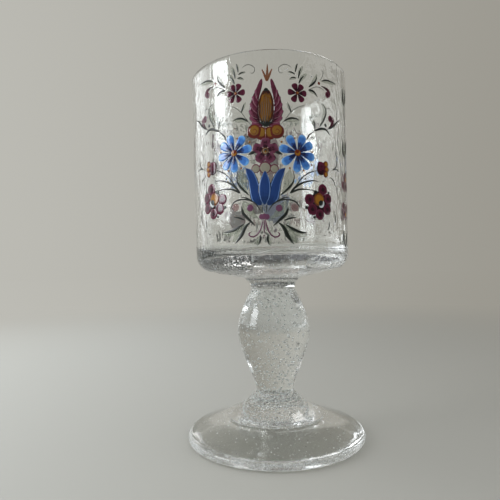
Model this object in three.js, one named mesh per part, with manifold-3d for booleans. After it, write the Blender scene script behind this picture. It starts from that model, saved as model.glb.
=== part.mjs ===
// Stemmed drinking glass of seeded green-grey glass, painted with a folk bouquet in fired enamel.
// Millimetres, +Z up. The origin is the middle of the ring that it stands on. The front is -Y.

import * as THREE from "three";
import { mergeVertices } from "three/addons/utils/BufferGeometryUtils.js";
import Module from "manifold-3d";

const wasm = await Module();
wasm.setup();

// Heights of the joints between the glass pieces, from the table up
const seatZ = 10.4; // foot to collar
const waistZ = 21.3; // collar to stem
const neckZ = 68; // stem to bowl
const rimZ = 165; // drinking rim

// Foot: a spread plate with a rounded edge and a hollow underside
const footR = 40.4;
const footEdge = 4.2; // thickness of the rounded edge
const footRestR = 37.4; // outer radius of the ring that touches the table
const footRestWidth = 2.4;
const footHollow = 5.6; // height of the hollow under the middle
const pontilR = 8; // ground spot in the middle of the hollow

// Collar: the flared drop of glass that joins the stem to the foot
const collarR = 22.3;
const collarEdge = 0.5;

// Stem: a solid baluster
const waistR = 8.4;
const bellyR = 16.8;
const bellyZ = 48.5;
const neckR = 10.15;

// Bowl: thick in the base, thin in the wall, a little wider at the rim
const rimR = 36.5;
const heelR = 35.3; // outside radius where the wall meets the rounded heel
const heelRound = 6.2;
const heelZ = 82.5;
const baseRise = 2.8; // climb of the underside from the neck's fillet to the heel
const neckFillet = 5;
const floorZ = 83;
const floorRound = 5;
const rimWall = 1.9;
const heelWall = 2.7;

// Enamel: raised patches of fired colour on the outside of the bowl
const enamelThickness = 0.4;
const enamelGap = 0.3;
const bouquetLean = THREE.MathUtils.degToRad(2.2); // hand-painted tilt of the whole bouquet
const bouquetTurn = THREE.MathUtils.degToRad(-4.6); // where its middle line stands, from the front

// The bouquet is drawn for a wall this tall, and grows or shrinks with the wall that it is painted on
const drawnWall = 82.5;
const paintScale = (rimZ - heelZ) / drawnWall;

// The middle line of the bouquet, as drawn: sizes from the knot to the top of the pod
const knotUp = 15.1; // above the heel
const knotHalf = 2.4;
const scrollAcross = 6.1; // how far a scroll curls out under the knot
const scrollDrop = 8;
const scrollHalf = 0.45;
const tieLength = 4.7; // from the knot to the foot of the tulip
const tulipHeight = 13.7;
const tulipSpread = 8.7; // from the middle line to the tip of a side petal
const tulipPetalHalf = 2.4;
const scaleRoom = 2.6; // room for small scales between the tulip and the rosette
const rosetteReach = 5.2;
const rosettePetalHalf = 2;
const rosetteEyeR = 1.6;
const scallopR = 2.6;
const scallopSpread = 5;
const podHeight = 13.6;
const podHalf = 3.1;
const wingHalf = 6.9; // from the middle line to the widest part of a wing

// Each flower of the middle line stands on the one below
const tulipUp = knotUp + tieLength;
const rosetteUp = tulipUp + tulipHeight + scaleRoom + rosetteReach;
const scallopUp = rosetteUp + rosetteReach + scallopR;
const podUp = scallopUp + scallopR + enamelGap;

// Flowers beside the middle line, as drawn: heights above the heel, places across, and sizes
const daisyUp = rosetteUp;
const backDaisyUp = 44.5;
const backDaisyAcross = 20;
const daisyReach = 7.6;
const daisyPetalHalf = 1.4;
const daisyEyeR = 1.5;
const floretUp = podUp + podHeight;
const floretAcross = 12.7;
const floretReach = 3.9;
const floretPetalHalf = 1;
const floretEyeR = 1;
const bloomUp = 21.1;
const bloomAcross = 24;
const bloomReach = 7;
const bloomPetalHalf = 2.1;
const bloomEyeR = 2.9;
const halfBloomUp = 35.3;
const halfBloomAcross = 24.6;
const backHalfBloomUp = 26.5;
const backHalfBloomAcross = 11.5;
const halfBloomR = 2.8;
const lowBudUp = 56.5;
const highBudUp = 68.5;
const budAcross = 28.6;
const budLength = 7.5;
const budHalf = 1.4;
const leavesUp = knotUp - knotHalf;
const leafLength = 13;
const leafHalf = 1.3;

const turnSteps = 40;
const curveSteps = 4;

const colours = {
  glass: { color: "#c9cfc9", roughness: 0.06 },
  maroon: { color: "#5c1f33", roughness: 0.32 },
  blue: { color: "#3f6fb4", roughness: 0.3 },
  navy: { color: "#27508f", roughness: 0.3 },
  ochre: { color: "#a4762a", roughness: 0.34 },
  green: { color: "#2f3b35", roughness: 0.36 },
};

const goblet = new THREE.Group();

function addPiece(name, geometry, finish) {
  const material = new THREE.MeshStandardMaterial({ ...colours[finish], metalness: 0 });
  const mesh = new THREE.Mesh(geometry, material);
  mesh.name = name;
  goblet.add(mesh);
}

// Turning a profile: [radius, height] from the axis, round the outside, back to the axis
function turned(path) {
  const geometry = new THREE.LatheGeometry(path.getPoints(curveSteps), turnSteps);
  return geometry.rotateX(Math.PI / 2);
}

function asSolid(geometry) {
  const bare = geometry.clone();
  bare.deleteAttribute("normal");
  bare.deleteAttribute("uv");
  const merged = mergeVertices(bare, 1e-4);
  const corners = merged.index.array;
  const kept = [];
  for (let i = 0; i < corners.length; i += 3) {
    const [a, b, c] = corners.slice(i, i + 3);
    if (a !== b && b !== c && c !== a) {
      kept.push(a, b, c);
    }
  }
  const mesh = new wasm.Mesh({
    numProp: 3,
    vertProperties: new Float32Array(merged.attributes.position.array),
    triVerts: new Uint32Array(kept),
  });
  return new wasm.Manifold(mesh);
}

function asGeometry(solid) {
  const mesh = solid.getMesh();
  const geometry = new THREE.BufferGeometry();
  geometry.setAttribute("position", new THREE.BufferAttribute(mesh.vertProperties, 3));
  geometry.setIndex(new THREE.BufferAttribute(mesh.triVerts, 1));
  geometry.computeVertexNormals();
  return geometry;
}

// Foot plate
function footProfile() {
  const restInnerR = footRestR - footRestWidth;
  const edgeSpan = footR - footRestR;
  const path = new THREE.Path();
  path.moveTo(0, footHollow);
  path.lineTo(pontilR, footHollow);
  path.bezierCurveTo(restInnerR * 0.5, footHollow, restInnerR * 0.8, footEdge * 0.3, restInnerR, 0);
  path.lineTo(footRestR, 0);
  path.bezierCurveTo(footRestR + edgeSpan * 0.6, 0, footR, footEdge * 0.2, footR, footEdge * 0.45);
  path.bezierCurveTo(footR, footEdge * 0.8, footR - edgeSpan * 0.3, footEdge, footRestR, footEdge * 1.1);
  path.lineTo(collarR, seatZ);
  path.lineTo(0, seatZ);
  return path;
}

// Flared collar
function collarProfile() {
  const rise = waistZ - seatZ - collarEdge;
  const path = new THREE.Path();
  path.moveTo(0, seatZ);
  path.lineTo(collarR, seatZ);
  path.lineTo(collarR, seatZ + collarEdge);
  path.bezierCurveTo(
    collarR - rise * 0.4, seatZ + collarEdge + rise * 0.1,
    waistR + rise * 0.45, seatZ + collarEdge + rise * 0.48,
    waistR, waistZ,
  );
  path.lineTo(0, waistZ);
  return path;
}

// Baluster stem, swelling from the waist to the belly and in again to the neck
function stemProfile() {
  const lower = bellyZ - waistZ;
  const upper = neckZ - bellyZ;
  const path = new THREE.Path();
  path.moveTo(0, waistZ);
  path.lineTo(waistR, waistZ);
  path.bezierCurveTo(
    waistR + lower * 0.06, waistZ + lower * 0.28,
    bellyR, bellyZ - lower * 0.29,
    bellyR, bellyZ,
  );
  path.bezierCurveTo(
    bellyR, bellyZ + upper * 0.38,
    neckR + upper * 0.06, neckZ - upper * 0.13,
    neckR, neckZ,
  );
  path.lineTo(0, neckZ);
  return path;
}

// Bowl with its thick base, the rounded heel, the wall and the rounded lip
function bowlProfile() {
  const underZ = heelZ - heelRound;
  const neckTopZ = underZ - baseRise;
  const lip = rimWall / 2;
  const floorWallR = heelR - heelWall;
  const path = new THREE.Path();
  path.moveTo(0, neckZ);
  path.lineTo(neckR, neckZ);
  path.quadraticCurveTo(neckR + neckFillet * 0.2, neckTopZ, neckR + neckFillet * 1.3, neckTopZ);
  path.lineTo(heelR - heelRound, underZ);
  path.quadraticCurveTo(heelR - heelRound * 0.25, underZ + heelRound * 0.12, heelR, heelZ);
  path.lineTo(rimR, rimZ - lip);
  path.absarc(rimR - lip, rimZ - lip, lip, 0, Math.PI, false);
  path.lineTo(floorWallR, floorZ + floorRound);
  path.quadraticCurveTo(floorWallR, floorZ, floorWallR - floorRound, floorZ);
  path.lineTo(0, floorZ);
  return path;
}

// The ring of space that the enamel fills: it follows the wall from the heel to the lip
function enamelLayer() {
  const near = enamelGap;
  const far = enamelGap + enamelThickness;
  const topZ = rimZ - rimWall;
  const path = new THREE.Path();
  path.moveTo(heelR + near, heelZ);
  path.lineTo(heelR + far, heelZ);
  path.lineTo(rimR + far, topZ);
  path.lineTo(rimR + near, topZ);
  path.lineTo(heelR + near, heelZ);
  return asSolid(turned(path));
}

// One brush stroke: its line runs through points of [across, up, half width]
function strokeOutline(points, grow) {
  const line = new THREE.CatmullRomCurve3(points.map(([x, z, half]) => new THREE.Vector3(x, z, half)));
  const steps = points.length;
  const left = [];
  const right = [];
  for (let i = 0; i <= steps; i++) {
    const at = line.getPoint(i / steps);
    const along = line.getTangent(i / steps).setZ(0).normalize();
    const half = Math.max(at.z, enamelThickness / 2) + grow;
    const end = i === 0 ? -grow : i === steps ? grow : 0;
    const x = at.x + along.x * end;
    const z = at.y + along.y * end;
    left.push(new THREE.Vector2(x - along.y * half, z + along.x * half));
    right.unshift(new THREE.Vector2(x + along.y * half, z - along.x * half));
  }
  return new THREE.Shape([...right, ...left]);
}

// A stroke cut straight into the layer from the front, turned to its place round the bowl
function strokePlug(points, grow, turn) {
  const reach = (Math.max(rimR, heelR) + enamelGap + enamelThickness) * 1.05;
  const depth = reach / 2;
  const settings = { depth, bevelEnabled: false };
  const geometry = new THREE.ExtrudeGeometry(strokeOutline(points, grow), settings);
  geometry.translate(0, 0, reach - depth);
  geometry.rotateX(Math.PI / 2);
  geometry.rotateZ(turn);
  return asSolid(geometry);
}

const layer = enamelLayer();
let painted = [];

// Paints one motif: its strokes join, keep a gap to what is painted already, and fill the layer
function paint(name, finish, side, strokes, x, up) {
  const [across, height] = leaned(x, up - rosetteUp);
  const z = heelZ + (rosetteUp + height) * paintScale;
  const wallR = heelR + ((rimR - heelR) * (z - heelZ)) / (rimZ - heelZ);
  const turn = side + bouquetTurn + (across * paintScale) / wallR;
  const placed = strokes.map((points) =>
    points.map(([px, pz, half]) => {
      const [sx, sz] = leaned(px, pz);
      return [sx * paintScale, z + sz * paintScale, half * paintScale];
    }),
  );
  const plug = wasm.Manifold.union(placed.map((points) => strokePlug(points, 0, turn)));
  const clear = painted.length ? plug.subtract(wasm.Manifold.union(painted)) : plug;
  addPiece(name, asGeometry(largest(clear.intersect(layer))), finish);
  painted.push(wasm.Manifold.union(placed.map((points) => strokePlug(points, enamelGap, turn))));
}

// The bouquet's tilt, about the rosette
function leaned(x, z) {
  const [along, sideways] = [Math.cos(bouquetLean), Math.sin(bouquetLean)];
  return [x * along + z * sideways, z * along - x * sideways];
}

// The gap may trim a stroke's tip off: the motif is what hangs together
function largest(solid) {
  const pieces = solid.decompose();
  return pieces.sort((a, b) => b.volume() - a.volume())[0];
}

function mirrored(strokes) {
  return strokes.map((points) => points.map(([x, z, half]) => [-x, z, half]));
}

// A petal points away from the flower's middle, widest near its end
function petal(angle, start, reach, half) {
  const middle = start + (reach - start) * 0.45;
  const profile = [[start, 0.35], [middle, 0.8], [reach - half * 0.9, 1], [reach, 0.35]];
  return profile.map(([r, share]) => [r * Math.cos(angle), r * Math.sin(angle), half * share]);
}

// A round spot of colour
function disc(radius, x = 0, z = 0) {
  const profile = [[-1, 0.2], [-0.7, 0.71], [0, 1], [0.7, 0.71], [1, 0.2]];
  return profile.map(([along, share]) => [x + along * radius, z, radius * share]);
}

// Flower of equal petals round an eye; the first petal points at the given angle
function flower(petals, first, reach, half, eyeR) {
  const strokes = [disc(eyeR)];
  for (let i = 0; i < petals; i++) {
    const angle = THREE.MathUtils.degToRad(first) + (i * 2 * Math.PI) / petals;
    strokes.push(petal(angle, eyeR * 0.4, reach, half));
  }
  return strokes;
}

function tulip() {
  const h = tulipHeight;
  const wide = tulipPetalHalf;
  const side = [
    [-tulipSpread * 0.05, h * 0.06, wide * 0.3],
    [-tulipSpread * 0.36, h * 0.2, wide * 0.92],
    [-tulipSpread * 0.5, h * 0.5, wide * 0.8],
    [-tulipSpread * 0.66, h * 0.85, wide * 0.55],
    [-tulipSpread, h * 1.08, wide * 0.1],
  ];
  const middle = [
    [0, h * 0.03, wide * 0.35],
    [0, h * 0.3, wide],
    [0, h * 0.66, wide * 0.92],
    [0, h * 0.9, wide * 0.45],
    [0, h, wide * 0.1],
  ];
  return [side, middle, ...mirrored([side])];
}

// One maroon wing of the palmette, curling up beside the pod
function wing() {
  const inner = podHalf + enamelGap;
  const middle = (inner + wingHalf) / 2;
  const half = (wingHalf - inner) / 2;
  return [
    [
      [inner * 0.26, podHeight * -0.05, half * 0.17],
      [middle * 0.8, podHeight * 0.12, half * 0.8],
      [middle, podHeight * 0.4, half],
      [middle * 0.82, podHeight * 0.75, half * 0.75],
      [inner * 0.7, podHeight * 1.05, half * 0.45],
      [inner * 0.6, podHeight * 1.3, half * 0.17],
    ],
  ];
}

function pod() {
  const h = podHeight;
  const shares = [[0, 0.35], [0.22, 0.85], [0.5, 1], [0.8, 0.7], [1, 0.1]];
  return [shares.map(([up, half]) => [0, h * up, podHalf * half])];
}

function scallops() {
  return [
    disc(scallopR, -scallopSpread),
    disc(scallopR, -scallopSpread * 0.34, -scallopR * 0.2),
    disc(scallopR, scallopSpread * 0.34, -scallopR * 0.2),
    disc(scallopR, scallopSpread),
  ];
}

// Knot that ties the stems, with the scrolls that curl away under it
function knot() {
  const scroll = [[0.05, 0], [0.16, 0.45], [0.38, 0.83], [0.69, 1], [0.95, 0.95], [1, 0.83]].map(
    ([across, down]) => [scrollAcross * across, -scrollDrop * down, scrollHalf],
  );
  const lobe = knotHalf * 0.55;
  const lobes = [disc(lobe, lobe - knotHalf), disc(lobe, 0, lobe * 0.2), disc(lobe, knotHalf - lobe)];
  return [...lobes, scroll, ...mirrored([scroll])];
}

// Three leaves that spring from one point beside the knot
function lowLeaves() {
  const leaves = [
    [[0, 0, 0.4], [0.2, -0.18, 0.8], [0.4, -0.48, 1], [0.72, -0.75, 0.3]],
    [[0, 0, 0.4], [0.3, -0.08, 0.7], [0.62, -0.26, 0.8], [1, -0.3, 0.25]],
    [[0, 0, 0.4], [0.28, 0.2, 0.7], [0.38, 0.4, 0.6], [0.36, 0.6, 0.25]],
  ];
  const l = leafLength;
  return leaves.map((leaf) => leaf.map(([x, z, half]) => [x * l, z * l, half * leafHalf]));
}

// Half-open bloom: one round petal and the ruffled cup beside it
function halfBloom() {
  const r = halfBloomR;
  return [disc(r, -r * 0.57), disc(r * 0.45, r * 0.68, r * 0.5), disc(r * 0.5, r * 0.68, -r * 0.15)];
}

// Bud on a bent stalk, like a comma
function bud() {
  const comma = [
    [-0.6, -0.56, 0.2],
    [-0.2, -0.46, 0.35],
    [0.06, -0.2, 0.55],
    [0.06, 0.06, 0.8],
    [-0.08, 0.2, 1],
    [-0.2, 0.16, 0.5],
  ];
  return [comma.map(([x, z, half]) => [x * budLength, z * budLength, half * budHalf])];
}

// Paints a motif on both sides of the middle line
function paintPair(name, finish, side, where, strokes, x, up) {
  paint(`${name}_${where}_right`, finish, side, strokes, x, up);
  paint(`${name}_${where}_left`, finish, side, mirrored(strokes), -x, up);
}

function bouquet(where, side) {
  const front = where === "front";
  const daisyAcross = front ? rosetteReach + enamelGap + daisyReach : backDaisyAcross;
  const cupAcross = front ? halfBloomAcross : backHalfBloomAcross;
  const cupUp = front ? halfBloomUp : backHalfBloomUp;
  const leavesAcross = knotHalf + enamelGap * 2;
  const rosette = flower(5, 90, rosetteReach, rosettePetalHalf, rosetteEyeR);
  const daisy = flower(8, -8, daisyReach, daisyPetalHalf, daisyEyeR);
  const floret = flower(6, -5, floretReach, floretPetalHalf, floretEyeR);
  const bloom = flower(7, 10, bloomReach, bloomPetalHalf, bloomEyeR);
  painted = [];
  paint(`pod_${where}`, "ochre", side, pod(), 0, podUp);
  paintPair("wing", "maroon", side, where, wing(), 0, podUp);
  paint(`scallops_${where}`, "ochre", side, scallops(), 0, scallopUp);
  paint(`rosette_${where}`, "maroon", side, rosette, 0, rosetteUp);
  paint(`tulip_${where}`, "navy", side, tulip(), 0, tulipUp);
  paint(`knot_${where}`, "maroon", side, knot(), 0, knotUp);
  paintPair("daisy", "blue", side, where, daisy, daisyAcross, front ? daisyUp : backDaisyUp);
  paintPair("floret", "maroon", side, where, floret, floretAcross, floretUp);
  paintPair("leaves", "green", side, where, lowLeaves(), leavesAcross, leavesUp);
  paintPair("bloom", "maroon", side, where, bloom, bloomAcross, bloomUp);
  paintPair("half_bloom", "ochre", side, where, halfBloom(), cupAcross, cupUp);
  paintPair("low_bud", "maroon", side, where, bud(), budAcross, lowBudUp);
  paintPair("high_bud", "maroon", side, where, bud(), budAcross, highBudUp);
}

addPiece("foot", turned(footProfile()), "glass");
addPiece("collar", turned(collarProfile()), "glass");
addPiece("stem", turned(stemProfile()), "glass");
addPiece("bowl", turned(bowlProfile()), "glass");
bouquet("front", 0);
bouquet("back", Math.PI);

export default goblet;
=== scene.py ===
import math
import random

import bmesh
import bpy
from mathutils import Matrix, Vector


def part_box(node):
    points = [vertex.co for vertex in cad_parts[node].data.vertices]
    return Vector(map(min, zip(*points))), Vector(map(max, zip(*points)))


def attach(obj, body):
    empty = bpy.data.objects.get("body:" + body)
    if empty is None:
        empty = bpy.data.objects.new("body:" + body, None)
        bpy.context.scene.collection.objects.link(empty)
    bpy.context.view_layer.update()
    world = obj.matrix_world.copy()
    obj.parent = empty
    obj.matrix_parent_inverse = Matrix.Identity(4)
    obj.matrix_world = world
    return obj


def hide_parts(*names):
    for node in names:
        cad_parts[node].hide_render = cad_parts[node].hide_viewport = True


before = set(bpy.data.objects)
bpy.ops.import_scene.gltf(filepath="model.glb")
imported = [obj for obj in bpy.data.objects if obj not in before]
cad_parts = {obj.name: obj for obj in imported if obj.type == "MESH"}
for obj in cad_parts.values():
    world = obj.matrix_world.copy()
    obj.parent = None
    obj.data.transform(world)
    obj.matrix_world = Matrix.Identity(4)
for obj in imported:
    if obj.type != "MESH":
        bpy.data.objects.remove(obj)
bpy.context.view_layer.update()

MM = 0.001
BODY = "root"

# Heights and radii of the glass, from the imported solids
foot_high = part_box("foot")[1]
collar_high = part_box("collar")[1]
stem_low, stem_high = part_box("stem")
bowl_low, bowl_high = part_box("bowl")
SEAT_Z = foot_high.z
WAIST_Z = stem_low.z
NECK_Z = bowl_low.z
RIM_Z = bowl_high.z
FOOT_R = foot_high.y
COLLAR_R = collar_high.y
BELLY_R = stem_high.y
RIM_R = bowl_high.y

# Sizes that the solids hold but their boxes don't show
WAIST_R = 8.4 * MM
NECK_R = 10.15 * MM
BELLY_Z = 48.5 * MM
FOOT_EDGE = 4.2 * MM
FOOT_TOP_Z = FOOT_EDGE * 1.1
FOOT_REST_R = 37.4 * MM
FOOT_REST_INNER_R = 35 * MM
FOOT_HOLLOW = 5.6 * MM
PONTIL_R = 8 * MM
COLLAR_EDGE = 0.5 * MM
HEEL_R = 35.3 * MM
HEEL_Z = 82.5 * MM
HEEL_ROUND = 6.2 * MM
BASE_RISE = 2.8 * MM
NECK_FILLET = 5 * MM
FLOOR_Z = 83 * MM
FLOOR_ROUND = 5 * MM
INNER_WALL_Z = FLOOR_Z + FLOOR_ROUND * 0.9
RIM_WALL = 1.9 * MM
HEEL_WALL = 2.7 * MM

# Where the middle line of the bouquet stands, and its hand-painted tilt
BOUQUET_TURN = math.radians(-4.6)
BOUQUET_LEAN = math.radians(2.2)

# How finely the glass is turned, and what counts as an edge, a flat face, one point, one level and nothing
TURN_STEPS = 144
CURVE_STEPS = 14
DISC_SIDES = 96
LONGEST_STEP = 2 * MM
SHARP_EDGE = math.radians(35)
FLAT = 0.999
SAME_POINT = 0.001 * MM
SAME_LEVEL = 0.01 * MM
FULL_TURN = 2 * math.pi
TINY = 1e-6


# Glass

def bezier(p0, p1, p2, p3):
    """Points of one curve after its first point."""
    points = []
    for i in range(1, CURVE_STEPS + 1):
        t = i / CURVE_STEPS
        shares = ((1 - t) ** 3, 3 * t * (1 - t) ** 2, 3 * t * t * (1 - t), t ** 3)
        points.append(tuple(sum(s * p[k] for s, p in zip(shares, (p0, p1, p2, p3))) for k in (0, 1)))
    return points


def bend(p0, p1, p2):
    """A curve with one pull point."""
    first = tuple(a + (b - a) * 2 / 3 for a, b in zip(p0, p1))
    second = tuple(a + (b - a) * 2 / 3 for a, b in zip(p2, p1))
    return bezier(p0, first, second, p2)


def foot_outline():
    span = FOOT_R - FOOT_REST_R
    inner = FOOT_REST_INNER_R
    points = [(0, FOOT_HOLLOW), (PONTIL_R, FOOT_HOLLOW)]
    points += bezier(points[-1], (inner * 0.5, FOOT_HOLLOW), (inner * 0.8, FOOT_EDGE * 0.3), (inner, 0))
    points += [(FOOT_REST_R, 0)]
    points += bezier(
        points[-1],
        (FOOT_REST_R + span * 0.6, 0),
        (FOOT_R, FOOT_EDGE * 0.2),
        (FOOT_R, FOOT_EDGE * 0.45),
    )
    points += bezier(
        points[-1],
        (FOOT_R, FOOT_EDGE * 0.8),
        (FOOT_R - span * 0.3, FOOT_EDGE),
        (FOOT_REST_R, FOOT_TOP_Z),
    )
    return points + [(COLLAR_R, SEAT_Z), (0, SEAT_Z)]


def collar_outline():
    rise = WAIST_Z - SEAT_Z - COLLAR_EDGE
    edge_z = SEAT_Z + COLLAR_EDGE
    points = [(0, SEAT_Z), (COLLAR_R, SEAT_Z), (COLLAR_R, edge_z)]
    points += bezier(
        points[-1],
        (COLLAR_R - rise * 0.4, edge_z + rise * 0.1),
        (WAIST_R + rise * 0.45, edge_z + rise * 0.48),
        (WAIST_R, WAIST_Z),
    )
    return points + [(0, WAIST_Z)]


def stem_outline():
    lower = BELLY_Z - WAIST_Z
    upper = NECK_Z - BELLY_Z
    points = [(0, WAIST_Z), (WAIST_R, WAIST_Z)]
    points += bezier(
        points[-1],
        (WAIST_R + lower * 0.06, WAIST_Z + lower * 0.28),
        (BELLY_R, BELLY_Z - lower * 0.29),
        (BELLY_R, BELLY_Z),
    )
    points += bezier(
        points[-1],
        (BELLY_R, BELLY_Z + upper * 0.38),
        (NECK_R + upper * 0.06, NECK_Z - upper * 0.13),
        (NECK_R, NECK_Z),
    )
    return points + [(0, NECK_Z)]


def bowl_outline():
    under_z = HEEL_Z - HEEL_ROUND
    top_z = under_z - BASE_RISE
    wall_r = HEEL_R - HEEL_WALL
    lip = RIM_WALL / 2
    points = [(0, NECK_Z), (NECK_R, NECK_Z)]
    points += bend(points[-1], (NECK_R + NECK_FILLET * 0.2, top_z), (NECK_R + NECK_FILLET * 1.3, top_z))
    points += [(HEEL_R - HEEL_ROUND, under_z)]
    points += bend(points[-1], (HEEL_R - HEEL_ROUND * 0.25, under_z + HEEL_ROUND * 0.12), (HEEL_R, HEEL_Z))
    for i in range(CURVE_STEPS + 1):
        turn = math.pi * i / CURVE_STEPS
        points.append((RIM_R - lip + lip * math.cos(turn), RIM_Z - lip + lip * math.sin(turn)))
    points += [(wall_r, FLOOR_Z + FLOOR_ROUND)]
    points += bend(points[-1], (wall_r, FLOOR_Z), (wall_r - FLOOR_ROUND, FLOOR_Z))
    return points + [(0, FLOOR_Z)]


FOOT = foot_outline()
COLLAR = collar_outline()
STEM = stem_outline()
BOWL = bowl_outline()


def in_short_steps(outline):
    """Breaks long straight runs up, so that smooth shading doesn't carry a bend along the whole wall."""
    points = [outline[0]]
    for (r0, z0), (r1, z1) in zip(outline, outline[1:]):
        steps = max(1, math.ceil(math.hypot(r1 - r0, z1 - z0) / LONGEST_STEP))
        points += [(r0 + (r1 - r0) * i / steps, z0 + (z1 - z0) * i / steps) for i in range(1, steps + 1)]
    return points


def turned(name, outline, finishes, joint_levels):
    """Spins an outline into a closed glass piece. Faces on a hot joint let light straight through.

    The bowl's third finish goes on its inner wall, its fourth on its floor."""
    bm = bmesh.new()
    verts = [bm.verts.new((r, 0, z)) for r, z in in_short_steps(outline)]
    edges = [bm.edges.new(pair) for pair in zip(verts, verts[1:])]
    bmesh.ops.spin(
        bm, geom=verts + edges, cent=(0, 0, 0), axis=(0, 0, 1), angle=FULL_TURN,
        steps=TURN_STEPS, use_merge=True,
    )
    bmesh.ops.remove_doubles(bm, verts=bm.verts, dist=SAME_POINT)
    bmesh.ops.recalc_face_normals(bm, faces=bm.faces)
    for face in bm.faces:
        face.smooth = True
        flat = abs(face.normal.z) > FLAT
        middle = face.calc_center_median()
        if flat and any(abs(middle.z - level) < SAME_LEVEL for level in joint_levels):
            face.material_index = 1
        elif len(finishes) > 2 and flat and middle.z > FLOOR_Z - SAME_LEVEL:
            face.material_index = 3
        elif len(finishes) > 2 and face.normal.xy.dot(middle.xy) < 0:
            face.material_index = 2 if middle.z > INNER_WALL_Z else 3
    for edge in bm.edges:
        edge.smooth = edge.calc_face_angle(0) < SHARP_EDGE
    return finished(name, bm, finishes)


def into_scene(name, bm, materials):
    mesh = bpy.data.meshes.new(name)
    bm.to_mesh(mesh)
    bm.free()
    for material in materials:
        mesh.materials.append(material)
    thing = bpy.data.objects.new(name, mesh)
    bpy.context.scene.collection.objects.link(thing)
    return thing


def finished(name, bm, materials):
    piece = into_scene(name, bm, materials)
    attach(piece, BODY)
    return piece


def radius_at(outline, z):
    """Outer radius of a turned piece at a height."""
    widest = 0
    for (r0, z0), (r1, z1) in zip(outline, outline[1:]):
        if min(z0, z1) <= z <= max(z0, z1) and z0 != z1:
            widest = max(widest, r0 + (r1 - r0) * (z - z0) / (z1 - z0))
    return widest


# Seeds: small bubbles of air left in the glass

SEED_BATCH = 80
SEED_COVER = 0.35 * MM
SEED_STRETCH = (0.9, 1.5)
# The higher, the more of a set's seeds are fine ones
SEED_FINENESS = 2.4
HEEL_AIR_R = 23 * MM
HEEL_AIR_Z = NECK_Z + 6 * MM
HEEL_AIR_TURNS = (80, 250)
WALL_AIR_DEPTH = 1 * MM
PLATE_AIR_DEPTH = 1.6 * MM


def seeds(name, count, sizes, inside, material, draw):
    """Bubbles a little stretched upwards, smallest and largest radius in millimetres."""
    whole = bmesh.new()
    smallest, largest = (size * MM for size in sizes)
    for start in range(0, count, SEED_BATCH):
        batch = bmesh.new()
        for _ in range(min(SEED_BATCH, count - start)):
            r = smallest + (largest - smallest) * draw.random() ** SEED_FINENESS
            place = Matrix.Translation(inside(draw, r + SEED_COVER))
            stretch = Matrix.Diagonal((r, r, r * draw.uniform(*SEED_STRETCH), 1))
            bmesh.ops.create_icosphere(batch, subdivisions=1, radius=1, matrix=place @ stretch)
        mesh = bpy.data.meshes.new("seed_batch")
        batch.to_mesh(mesh)
        batch.free()
        whole.from_mesh(mesh)
        bpy.data.meshes.remove(mesh)
    for face in whole.faces:
        face.smooth = True
    return finished(name, whole, [material])


def at_turn(turn, r, z):
    return Vector((r * math.cos(turn), r * math.sin(turn), z))


def within(outline, low, high):
    """Picks a place inside a turned piece between two heights."""

    def pick(draw, margin):
        reach = 0
        while reach <= 0:
            z = draw.uniform(low + margin, high - margin)
            reach = radius_at(outline, z) - margin
        r = reach * math.sqrt(draw.random())
        return at_turn(draw.uniform(0, FULL_TURN), r, z)

    return pick


def in_heel(draw, margin):
    """Picks a place in the outer part of the thick base, at the back and on the left."""
    reach = 0
    while reach <= HEEL_AIR_R:
        z = draw.uniform(HEEL_AIR_Z + margin, FLOOR_Z - margin)
        reach = radius_at(BOWL, z) - margin
    r = draw.uniform(HEEL_AIR_R, reach)
    return at_turn(math.radians(draw.uniform(*HEEL_AIR_TURNS)), r, z)


def on_ring(radius, z, spread):
    """Picks a place close to a ring about the middle."""

    def pick(draw, margin):
        turn = draw.uniform(0, FULL_TURN)
        r = radius + draw.uniform(-spread, spread)
        return at_turn(turn, r, z + draw.uniform(-spread, spread))

    return pick


def in_wall(low, high):
    """Picks a place in the middle of the bowl's wall between two heights."""

    def pick(draw, margin):
        z = draw.uniform(low, high)
        return at_turn(draw.uniform(0, FULL_TURN), wall_radius(z) - WALL_AIR_DEPTH, z)

    return pick


def in_plate(draw, margin):
    """Picks a place a little under the top of the foot."""
    r = draw.uniform(COLLAR_R * 0.5, FOOT_REST_R)
    fall = (SEAT_Z - FOOT_TOP_Z) / (FOOT_REST_R - COLLAR_R)
    z = SEAT_Z - max(0, r - COLLAR_R) * fall - margin - draw.uniform(0, PLATE_AIR_DEPTH)
    return at_turn(draw.uniform(0, FULL_TURN), r, z)


# Enamel: one motif is one piece, laid on the wall of the bowl stroke by stroke

# Height of the rosette over the heel, the dome of a stroke, what each further coat adds to it, and how
# deep a stroke sinks in
ROSETTE_UP = 41.3 * MM
RELIEF = 0.1 * MM
COAT = 0.05 * MM
SINK = 0.05 * MM
# Half width in millimetres below which a stroke never gets, how blunt its ends are, and the waves in a dab
THINNEST = 0.02
BLUNTNESS = 6
DAB_WAVES = 40


def wall_radius(z):
    return HEEL_R + (RIM_R - HEEL_R) * (z - HEEL_Z) / (RIM_Z - HEEL_Z)


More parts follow.
